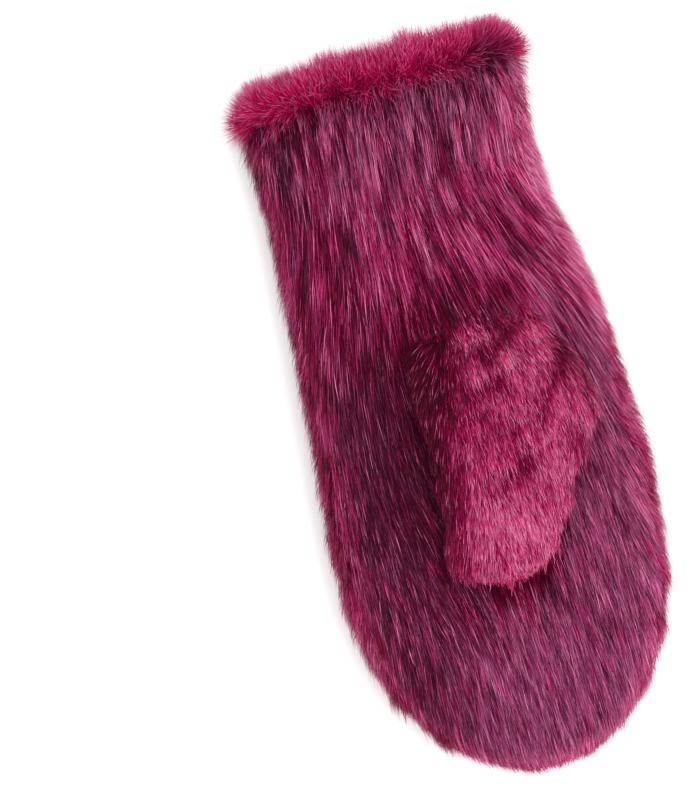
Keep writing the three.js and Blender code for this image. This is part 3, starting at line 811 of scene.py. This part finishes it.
def lay_hairs(
    name,
    slot,
    place,
    normal,
    lie,
    length,
    lift,
    width,
    tone,
    tone_spread,
    steep_loss=STEEP_LOSS,
    unruly=0.03,
    stray=0.035,
    gather=TUFT_GATHER,
    bend=BENT_OVER,
    climb=1.0,
    light_share=0.0,
    comb=None,
):
    """A piece of hair on tufts. A comb, if given, moves the hairs' points."""
    tufts = len(place)
    count = tufts * HAIRS_IN_A_TUFT
    place, normal = each_hair(place), each_hair(normal)
    along, across = comb_hairs(normal, lie, unruly, stray)
    steep = 1 - np.clip(np.linalg.norm(along, axis=1), 0, 1)
    hair_length = each_hair(length) * (1 - steep_loss * steep)
    hair_length = hair_length * random.uniform(*LENGTH_SHARES, count)
    hair_lift = each_hair(lift)[:, None] * (1 + wander(count, LIFT_WANDER))
    points = bend_hairs(place, normal, along, across, hair_length, hair_lift, gather, bend)
    if comb:
        comb(points)
    corners = widen(points, normal, width)
    tones = tint_hairs(tone, tone_spread, light_share)
    return ribbon_mesh(name, corners, tones, each_hair(np.broadcast_to(climb, tufts)))


print("hair's length from", LENGTH_SHARES[0], "to", LENGTH_SHARES[1], "of its region's")

# %% [markdown]
# ## Tones over the mitten
# The palm is the greyest part, with long dark and bright streaks where the wrist is gathered, and
# its edge and the back are bright magenta. A tone is a draw between the two families, with a
# lightness from stretched noise, so neighbouring tufts match, and streaks run with the hair. Each
# region has two short recipes, one for the lightness and one for the chance of magenta. A recipe
# says how much of each field goes in, such as how far a place is in the wrist.

# %% Tone helpers
STREAKS = {
    "palm_broad": (3.6 * MM, 20 * MM, 1.0),
    "palm_fine": (1.8 * MM, 12 * MM, 5.0),
    "palm_patches": (4 * MM, 20 * MM, 9.0),
    "thumb_broad": (6 * MM, 14 * MM, 13.0),
    "thumb_fine": (2 * MM, 10 * MM, 17.0),
    "back_broad": (8 * MM, 40 * MM, 21.0),
    "back_fine": (2.6 * MM, 18 * MM, 25.0),
    "hem": (6 * MM, 10 * MM, 31.0),
}


def streaks(place, kind):
    """Noise from about -1 to 1, drawn out along the lie of the hair."""
    width, length, seed = STREAKS[kind]
    turn = np.radians(between_regions(SWEEP, place[:, 1]))
    across = place[:, 0] * np.cos(turn) + place[:, 1] * np.sin(turn)
    along = place[:, 1] * np.cos(turn) - place[:, 0] * np.sin(turn)
    spots = zip(across / width, along / length)
    return np.array([2 * noise.noise(Vector((a, b, seed))) for a, b in spots])


def mix(recipe, fields):
    """Each field of the recipe by its amount, and a plain amount that is the same all over."""
    return sum(amount * fields.get(name, 1.0) for name, amount in recipe.items())


def pick_tone(magenta_chance, lightness):
    """A tone in the magenta family by that chance, or else in the mauve one."""
    light = np.clip(lightness, 0, 1)
    magenta = random.random(len(light)) < magenta_chance
    magenta_tone = MAGENTA_TONES[0] + (MAGENTA_TONES[1] - MAGENTA_TONES[0]) * light
    mauve_tone = MAUVE_TONES[0] + (MAUVE_TONES[1] - MAUVE_TONES[0]) * light
    return np.where(magenta, magenta_tone, mauve_tone)


print("kinds of streaks:", ", ".join(STREAKS))

# %% [markdown]
# Some marks are large enough to be known by: the bright and dark streaks of the gathered wrist,
# and the crimson creases of the thumb, which are partly the undercoat's crimson showing and
# partly painted shade in the fold. The dark fur beside and under the thumb, and a dark patch near
# the
# cuff, is painted shade: the thumb's own shadow and that of the mitten's pair, which isn't built.
# They are daubed on as soft ovals, as one would touch up a print. Each row has the oval's middle
# in mm, half its length and half its width, the turn of its length from straight down, and how
# much it lightens and reddens. Only the outer half of a hair shows, and that lies some way down
# from the root. So each daub is laid where it should show, and the roots look it up that much
# further down.

# %% Daubs
PALM_TONE_AND_SHADE_DAUBS = [
    (54, 72, 32, 8, 12, 0.34, 0.6),
    (43, 88, 9, 3, 22, 0.3, 0.8),
    (41, 65, 6, 3.5, 24, -0.05, 0.9),
    (18, 70, 7, 2.4, 16, 0.1, 0.9),
    (25, 47, 11, 3.2, 24, 0.05, 0.9),
    (31, 78, 9, 2, 17, 0.1, 0.7),
    (-16, 84, 11, 3, 2, 0.2, 0.8),
    (-34, 66, 12, 3.5, -2, 0.1, 0.8),
    (-8, 58, 9, 3, 6, 0.05, 0.8),
    # Dark crimson near the cuff: partly the fur's own crimson, partly painted shadow of the
    # mitten's pair.
    (23, 109, 8, 3, 8, -0.3, -0.3),
    (24, 96, 15, 5, 8, -0.3, 0.1),
    (38, 83, 7, 3, 20, -0.2, -0.4),
    (32, 60, 10, 4, 20, -0.25, -0.4),
    (5, 80, 9, 3, 8, -0.3, -0.3),
    (47, 69, 8, 3, 24, -0.25, -0.5),
    (-27, 74, 12, 4, 0, -0.25, -0.4),
    # Painted shade beside the thumb's left side and round its top: the shadow of the thumb and of
    # the mitten's pair.
    (-30, -24, 36, 13, 5, -0.4, -0.1),
    (-20, -8, 36, 8, -2, -0.7, -0.1),
    (-3, 40, 22, 9, -63, -0.8, 0.3),
    (-21, 20, 16, 7, -20, -0.5, 0.1),
    (-23, -28, 34, 6.5, 0, -0.9, 0.3),
    # Painted shade under the thumb's end and along its right side.
    (-2, -76, 8, 24, 0, -0.36, 0.35),
    (33, -43, 22, 4, -28, -0.2, -0.1),
]
THUMB_TONE_AND_SHADE_DAUBS = [
    # Creases across the thumb: the crimson undercoat showing, darkened by painted shade in the
    # fold; the light row between is pinker fur.
    (18, 20.5, 12, 2.8, 114, -0.5, 0),
    (21, 14.5, 12, 2.4, 115, 0.36, 0),
    (13, 6.5, 8, 3.4, 98, -0.5, 0),
    (20, -24, 7, 3, 115, -0.28, 0),
    (10, -30, 10, 3.5, 118, -0.34, 0),
    # Painted shade on the thumb's left side, its outer edge and its base under the palm's hair,
    # where its own hair is partly dark crimson too.
    (-14, 17, 28, 9, 0, -0.5, 0),
    (-14, -30, 30, 6.5, -5, -0.45, 0),
    (13, 34, 20, 5, 95, -0.5, 0),
    (-6, 30, 12, 8, 60, -0.4, 0),
    (42, 12, 22, 3.5, -32, -0.36, 0),
    (-5, 14, 16, 11, 0, -0.35, 0),
    (49, 0, 13, 4, 15, -0.3, 0),
    (16, 27, 13, 2.6, 106, 0.6, 0),
    (9, 12, 4.5, 2.6, 112, 0.45, 0),
    (32, 10, 8, 4, 112, 0.25, 0),
    (27, -16, 8, 4, 112, 0.2, 0),
    (31, -29, 9, 6, 20, 0.25, 0),
    (34, 23, 6, 3, 112, 0.2, 0),
    (8, -52, 16, 16, 0, 0.42, 0),
]
SHOWN_DOWN_BY = {"palm": np.array([0, 8 * MM, 0]), "thumb": np.array([0, 4.5 * MM, 0])}


def daub(place, light, magenta, daubs):
    """Lightness and chance of magenta with each daub's change, which fades from its middle."""
    for x, y, half_length, half_width, degrees, lighter, redder in daubs:
        turn = math.radians(degrees)
        dx, dy = place[:, 0] / MM - x, place[:, 1] / MM - y
        along = (dx * math.sin(turn) - dy * math.cos(turn)) / half_length
        across = (dx * math.cos(turn) + dy * math.sin(turn)) / half_width
        strength = np.exp(-(along**2) - across**2)
        light = light + lighter * strength
        magenta = magenta + redder * strength
    return light, magenta


print("daubs:", len(PALM_TONE_AND_SHADE_DAUBS), "on the palm,", len(THUMB_TONE_AND_SHADE_DAUBS), "on the thumb")

# %% [markdown]
# ## Hair of the palm
# First its tones. The palm's middle is plum and greyest at the left, where it is also darker:
# partly its own darker plum, partly a painted shadow of the mitten's pair, which isn't built. It
# turns magenta where it rounds over to the sides, and patchy at the wrist. A dull band runs along
# the cuff.

# %% Tones of the palm
PALM_LIGHT = {
    "plain": 0.5,
    "broad": 0.1,
    "fine": 0.14,
    # left: darker, partly the plum's own tone and partly painted shadow of the mitten's pair
    "left": -0.3,
    "wrist": -0.2,
    "wrist_broad": 0.18,
    "cuff": 0.16,
    "edge": 0.1,
}
PALM_MAGENTA = {"plain": 0.18, "edge": 0.9, "wrist": 0.54, "wrist_patches": 0.45, "cuff": -0.3}
PALM_WRIST_Y = (0.02, 0.06)
PALM_CUFF_Y = (0.098, 0.115)
PALM_BAND_Y = (0.121, 0.131)
PALM_DARK_AND_SHADED_LEFT_X = (0.01, 0.05)
PALM_EDGE_TURNS = (-0.92, -0.6)
PALM_BAND_DARKER = 0.06
PALM_BAND_DULLER = 0.8
PALM_LIGHTEST = 0.8


def palm_tone(place, normal):
    x, y = place[:, 0], place[:, 1]
    wrist = smoothstep(y, *PALM_WRIST_Y)
    broad = streaks(place, "palm_broad")
    fields = {
        "broad": broad,
        "fine": streaks(place, "palm_fine"),
        "left": smoothstep(-x, *PALM_DARK_AND_SHADED_LEFT_X),
        "wrist": wrist,
        "wrist_broad": wrist * broad,
        "wrist_patches": wrist * streaks(place, "palm_patches"),
        "cuff": smoothstep(y, *PALM_CUFF_Y),
        "edge": smoothstep(-normal[:, 2], *PALM_EDGE_TURNS),
    }
    shown = place - SHOWN_DOWN_BY["palm"]
    light, magenta = daub(shown, mix(PALM_LIGHT, fields), mix(PALM_MAGENTA, fields), PALM_TONE_AND_SHADE_DAUBS)
    band = smoothstep(y, *PALM_BAND_Y)
    light = np.minimum(light - PALM_BAND_DARKER * band, PALM_LIGHTEST)
    return pick_tone(magenta * (1 - PALM_BAND_DULLER * band), light)


print("palm's lightness:", PALM_LIGHT)

# %% [markdown]
# The palm's hair meets the base of the thumb from above and lies over it. Grown straight, it
# would dive into the thumb. So a comb looks straight down on the thumb at every point of such a
# hair, and lifts the point to lie just over what it finds.

# %% Comb over the thumb
OVERLAP_END_Y = 0.024
OVERLAP_TURNS_X = 0.032
OVERLAP_SLOPE = 1.8
COMBED_OVER = 1.6 * MM
FROM_ABOVE = 0.1
thumb_tree = BVHTree.FromPolygons(
    [vertex.co for vertex in skins["thumb"].data.vertices],
    [face.vertices[:] for face in skins["thumb"].data.polygons],
)


def comb_over_thumb(points):
    """Hair that would grow into the base of the thumb is lifted to lie over it."""
    low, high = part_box("thumb")
    x, y = points[:, :, 0], points[:, :, 1]
    end = OVERLAP_END_Y - OVERLAP_SLOPE * np.maximum(x - OVERLAP_TURNS_X, 0)
    over = (x > low.x) & (x < high.x) & (y > end) & (y < high.y)
    over[:, 0] = False
    moved = 0
    for hair, point in np.argwhere(over):
        px, py, pz = points[hair, point]
        struck = thumb_tree.ray_cast(Vector((px, py, FROM_ABOVE)), Vector((0, 0, -1)))[0]
        if struck and pz < struck.z + COMBED_OVER:
            points[hair, point, 2] = struck.z + COMBED_OVER
            moved += 1
    print(f"{moved} points of hair combed over the thumb")


print("faces to comb over:", len(skins["thumb"].data.polygons))

# %% [markdown]
# Now the hair itself. It is the longest of the mitten, and longer on the wrist than on the hand.
# It is shorter and stands up more where it rounds over to the sides, and beside the cuff's seam.
# It is two pieces, because one would be too heavy a mesh to handle.

# %% Palm hair on the hand and the wrist
HAND_END_Y = 0.012
HAND_HAIR = {"hairs": 38000, "length": 16 * MM}
WRIST_HAIR = {"hairs": 27000, "length": 22 * MM}
PALM_HAIR = {"width": 0.28 * MM, "tone_spread": 0.13, "light_share": 0.02}
PALM_LIFT = 10
PALM_LIFT_AT_SEAM = 34
PALM_LIFT_AT_EDGE = 10
PALM_LIFT_EDGE_TURNS = (-0.8, -0.3)
PALM_SHORT_EDGE_TURNS = (-0.85, -0.45)
SHORTER_AT_EDGE = 0.35
SHORTER_AT_SEAM = 0.45
CUFF_RISE_Y = (0.112, 0.131)


def rise_to_cuff(place):
    """How far hair stands up beside the cuff's seam, from 0 to 1."""
    return smoothstep(place[:, 1], *CUFF_RISE_Y)


def palm_hair(name, hairs, wanted, length):
    place, normal = scatter_tufts("body", hairs, wanted)
    rise = rise_to_cuff(place)
    short_edge = smoothstep(-normal[:, 2], *PALM_SHORT_EDGE_TURNS)
    lift_edge = smoothstep(-normal[:, 2], *PALM_LIFT_EDGE_TURNS)
    return lay_hairs(
        name,
        SLOTS["palm"],
        place,
        normal,
        lie=body_lie(place),
        length=length * (1 - SHORTER_AT_SEAM * rise) * (1 - SHORTER_AT_EDGE * short_edge),
        lift=np.radians(PALM_LIFT + PALM_LIFT_AT_SEAM * rise + PALM_LIFT_AT_EDGE * lift_edge),
        tone=palm_tone(place, normal),
        comb=comb_over_thumb,
        **PALM_HAIR,
    )


def on_hem(place):
    return place[:, 1] > CUFF_SEAM_Y


def on_palm(place):
    return (place[:, 2] > SIDE_SEAM_Z) & ~on_hem(place)


def on_hand_of_palm(place, normal):
    return on_palm(place) & (place[:, 1] < HAND_END_Y)


def on_wrist_of_palm(place, normal):
    return on_palm(place) & (place[:, 1] >= HAND_END_Y)


palm_hair("palm_hair_hand", wanted=on_hand_of_palm, **HAND_HAIR)
palm_hair("palm_hair_wrist", wanted=on_wrist_of_palm, **WRIST_HAIR)

# %% [markdown]
# ## Hair of the thumb
# The thumb's pelt has shorter, brighter hair, nearly all magenta. Its underside lies on the palm,
# and its root is sewn in, so nothing grows there. The hair is shortest at the blunt end. Where
# the daubs leave it crimson, as in the creases, the hairs of a tuft hardly differ, because there
# the smooth undercoat shows through. Where it is pink they differ most.

# %% Thumb hair
THUMB_HAIRS = 34000
THUMB_HAIR_LENGTH = 8.5 * MM
THUMB_END_SHORTER = 0.4
THUMB_END_PAST = (0.056, 0.068)
THUMB_LIFT = math.radians(14)
THUMB_HAIR = {"width": 0.26 * MM, "climb": 2.0, "light_share": 0.05}
THUMB_LIGHT = {"plain": 0.48, "broad": 0.14, "fine": 0.13}
THUMB_MAGENTA = 0.95
THUMB_SPREAD = {"plain": 0.045, "pink": 0.1}
THUMB_PINK_TONES = (0.6, 0.74)
THUMB_LOWEST_NORMAL_Z = -0.7
THUMB_SEWN_NORMAL_Y = 0.7


def thumb_tone(place):
    fields = {"broad": streaks(place, "thumb_broad"), "fine": streaks(place, "thumb_fine")}
    shown = place - SHOWN_DOWN_BY["thumb"]
    light, magenta = daub(shown, mix(THUMB_LIGHT, fields), THUMB_MAGENTA, THUMB_TONE_AND_SHADE_DAUBS)
    return pick_tone(magenta, light)


def on_open_thumb(place, normal):
    return (normal[:, 2] > THUMB_LOWEST_NORMAL_Z) & (normal[:, 1] < THUMB_SEWN_NORMAL_Y)


place, normal = scatter_tufts("thumb", THUMB_HAIRS, on_open_thumb)
tone = thumb_tone(place)
at_end = smoothstep(-place[:, 1], *THUMB_END_PAST)
lay_hairs(
    "thumb_hair",
    SLOTS["thumb"],
    place,
    normal,
    lie=thumb_lie(place),
    length=THUMB_HAIR_LENGTH * (1 - THUMB_END_SHORTER * at_end),
    lift=np.full(len(place), THUMB_LIFT),
    tone=tone,
    tone_spread=mix(THUMB_SPREAD, {"pink": smoothstep(tone, *THUMB_PINK_TONES)}),
    **THUMB_HAIR,
)

# %% [markdown]
# ## Hair of the back and its sides
# The back's pelt wraps round both sides, where it makes the mitten's outline. There the hair
# stands off, in tufts of uneven lift, and the outline frays into points as real fur does.
# Underneath it is pressed flat by the mitten's weight, so it gets longer, wider and fewer hairs
# that lie down.

# %% Back and side hair
# The back's side is darker at the left ("left"): a painted shadow of the mitten's pair, which
# isn't built.
BACK_LIGHT = {"plain": 0.46, "left": -0.12, "wrist_right": 0.3, "broad": 0.12, "fine": 0.14}
BACK_MAGENTA = {"plain": 0.84, "side": 0.12}
BACK_SIDE_TURNS = (-0.8, -0.2)
BACK_SHADOW_LEFT_X = (0.02, 0.05)
BACK_WRIST_RIGHT_FROM = {"x": (0.02, 0.04), "y": (0.0, 0.03)}
SIDE_NORMAL_Z = -0.55
SIDE_HAIR = {"hairs": 38000, "length": 11 * MM, "width": 0.26 * MM, "lift": 26, "gather": 0.45}
FLAT_HAIR = {
    "hairs": 26000, "length": 13 * MM, "width": 0.34 * MM, "lift": 6, "gather": TUFT_GATHER
}
BACK_LIFT_AT_SEAM = 30
BACK_LIFT_SHARES = (0.6, 1.6)
BACK_HAIR = {"tone_spread": 0.09, "unruly": 0.1, "stray": 0.15}


def back_tone(place, normal):
    x, y = place[:, 0], place[:, 1]
    side = smoothstep(normal[:, 2], *BACK_SIDE_TURNS)
    right = smoothstep(x, *BACK_WRIST_RIGHT_FROM["x"])
    fields = {
        "broad": streaks(place, "back_broad"),
        "fine": streaks(place, "back_fine"),
        "side": side,
        "left": smoothstep(-x, *BACK_SHADOW_LEFT_X) * side,
        "wrist_right": smoothstep(y, *BACK_WRIST_RIGHT_FROM["y"]) * right,
    }
    return pick_tone(mix(BACK_MAGENTA, fields), mix(BACK_LIGHT, fields))


def back_hair(name, hairs, wanted, length, width, lift, gather):
    place, normal = scatter_tufts("body", hairs, wanted)
    lifts = np.radians(lift + BACK_LIFT_AT_SEAM * rise_to_cuff(place))
    lifts = lifts * random.uniform(*BACK_LIFT_SHARES, len(place))
    return lay_hairs(
        name,
        SLOTS["back"],
        place,
        normal,
        lie=body_lie(place),
        length=np.full(len(place), length),
        lift=lifts,
        width=width,
        tone=back_tone(place, normal),
        gather=gather,
        **BACK_HAIR,
    )


def below_palm(place):
    return (place[:, 2] <= SIDE_SEAM_Z) & ~on_hem(place)


def on_side(place, normal):
    return below_palm(place) & (normal[:, 2] > SIDE_NORMAL_Z)


def on_back(place, normal):
    return below_palm(place) & (normal[:, 2] <= SIDE_NORMAL_Z)


back_hair("side_hair", wanted=on_side, **SIDE_HAIR)
back_hair("back_hair", wanted=on_back, **FLAT_HAIR)

# %% [markdown]
# ## Hair of the hem
# The hem is a strip of the same pelt, turned over the cuff's edge with its hair standing straight
# out. It is the brightest fur: its hairs stay crimson nearly to the tip, which is what the high
# climb does. Beside the seam the hair parts, and at the thumb's side a patch of the parting
# missed the dye and shows the fur's own grey-brown.

# %% Hem hair
HEM_HAIRS = 24000
HEM_HAIR_LENGTH = 14 * MM
HEM_LIFT = math.radians(36)
HEM_HAIR = {
    "width": 0.28 * MM,
    "tone_spread": 0.06,
    "steep_loss": 0.1,
    "unruly": 0.16,
    "stray": 0.12,
    "gather": 0.2,
    "bend": np.array([1.3, 1.0, 0.8]),
    "light_share": 0.05,
}
HEM_LIGHT = {"plain": 0.76, "streaks": 0.14, "parting": -0.08}
HEM_MAGENTA = {"plain": 0.98, "undyed": -0.95}
HEM_CLIMB = {"plain": 7.0, "undyed": -5.6}
PARTING_FACES_UP = (0.3, 0.8)
PARTING_ENDS_Y = (0.135, 0.140)
UNDYED_STARTS_X = (0.034, 0.044)
UNDYED_ENDS_X = (0.057, 0.063)
UNDYED_ENDS_Y = (0.1335, 0.1375)
UNDYED_LIGHT = 0.42


def hem_fields(place, normal):
    """How much each place belongs to the parting of the hair, and to its undyed patch."""
    x, y = place[:, 0], place[:, 1]
    parting = smoothstep(normal[:, 2], *PARTING_FACES_UP) * (1 - smoothstep(y, *PARTING_ENDS_Y))
    undyed = parting * smoothstep(x, *UNDYED_STARTS_X) * (1 - smoothstep(x, *UNDYED_ENDS_X))
    undyed = undyed * (1 - smoothstep(y, *UNDYED_ENDS_Y))
    return {"parting": parting, "undyed": undyed, "streaks": streaks(place, "hem")}


def on_hem_skin(place, normal):
    return on_hem(place)


place, normal = scatter_tufts("body", HEM_HAIRS, on_hem_skin)
fields = hem_fields(place, normal)
dyed_light = mix(HEM_LIGHT, fields) * (1 - fields["undyed"])
lay_hairs(
    "hem_hair",
    SLOTS["hem"],
    place,
    normal,
    lie=hem_lie(place),
    length=np.full(len(place), HEM_HAIR_LENGTH),
    lift=np.full(len(place), HEM_LIFT),
    tone=pick_tone(mix(HEM_MAGENTA, fields), dyed_light + UNDYED_LIGHT * fields["undyed"]),
    climb=mix(HEM_CLIMB, fields),
    **HEM_HAIR,
)

# %% [markdown]
# ## The ground
# The mitten lies on a plain white ground. A large plane of matt paper is enough.

# %% Floor
GROUND_SIZE = 8
PAPER_WHITE = (0.93, 0.93, 0.93, 1)
PAPER_ROUGHNESS = 0.9
bpy.ops.mesh.primitive_plane_add(size=GROUND_SIZE)
floor = bpy.context.object
floor.name = "floor"
paper = bpy.data.materials.new("white paper")
paper.use_nodes = True
paper_shader = paper.node_tree.nodes["Principled BSDF"]
paper_shader.inputs["Base Color"].default_value = PAPER_WHITE
paper_shader.inputs["Roughness"].default_value = PAPER_ROUGHNESS
floor.data.materials.append(paper)
print("floor:", GROUND_SIZE, "m of", paper.name)

# %% [markdown]
# ## The light
# The light is so soft that the mitten throws hardly a shadow. A bright white sky does most of
# that, and one large lamp to the right gives the hairs a lit side. The Standard view transform
# shows the dyes as they were written, where the default one would grey them.

# %% Light
SKY_STRENGTH = 1.2 * LIGHT_ON_WHITE
LAMP_PLACE = (0.55, -0.1, 1.6)
LAMP_SIZE = 0.8
LAMP_POWER = 12 * LIGHT_ON_WHITE
world = bpy.data.worlds.new("soft sky")
world.use_nodes = True
sky = world.node_tree.nodes["Background"]
sky.inputs["Color"].default_value = (1, 1, 1, 1)
sky.inputs["Strength"].default_value = SKY_STRENGTH
bpy.context.scene.world = world
bpy.context.scene.view_settings.view_transform = "Standard"


def soft_lamp(name, place, size, power):
    """A square lamp that faces the mitten."""
    lamp = bpy.data.lights.new(name, "AREA")
    lamp.size = size
    lamp.energy = power
    holder = bpy.data.objects.new(name, lamp)
    holder.location = place
    holder.rotation_mode = "QUATERNION"
    holder.rotation_quaternion = (-Vector(place)).to_track_quat("-Z", "Y")
    bpy.context.collection.objects.link(holder)


soft_lamp("lamp above to the right", LAMP_PLACE, LAMP_SIZE, LAMP_POWER)
print(f"sky of {SKY_STRENGTH:.2f}, lamp of {LAMP_POWER:.0f} W")

# %% [markdown]
# ## The camera
# The mitten is seen from straight above, with its cuff leaning to the left. The picture's middle
# and height are given in metres on the mitten, and a long lens from 1.5 m keeps the view flat, so
# that the near thumb isn't drawn larger than the palm behind it.

# %% Camera
LEAN_IN_PICTURE = math.radians(16)
PICTURE_MIDDLE = (-0.0438, 0.0175)
PICTURE_HEIGHT = 0.3184
CAMERA_DISTANCE = 1.5
SIGHT_LINE_Z = 0.03
SENSOR = 36
camera = bpy.data.objects.new("camera", bpy.data.cameras.new("camera"))
camera.data.sensor_width = SENSOR
camera.data.lens = SENSOR * CAMERA_DISTANCE / PICTURE_HEIGHT
camera.location = (*PICTURE_MIDDLE, SIGHT_LINE_Z + CAMERA_DISTANCE)
camera.rotation_euler = (0, 0, -LEAN_IN_PICTURE)
bpy.context.collection.objects.link(camera)
bpy.context.scene.camera = camera
print(f"lens {camera.data.lens:.0f} mm")
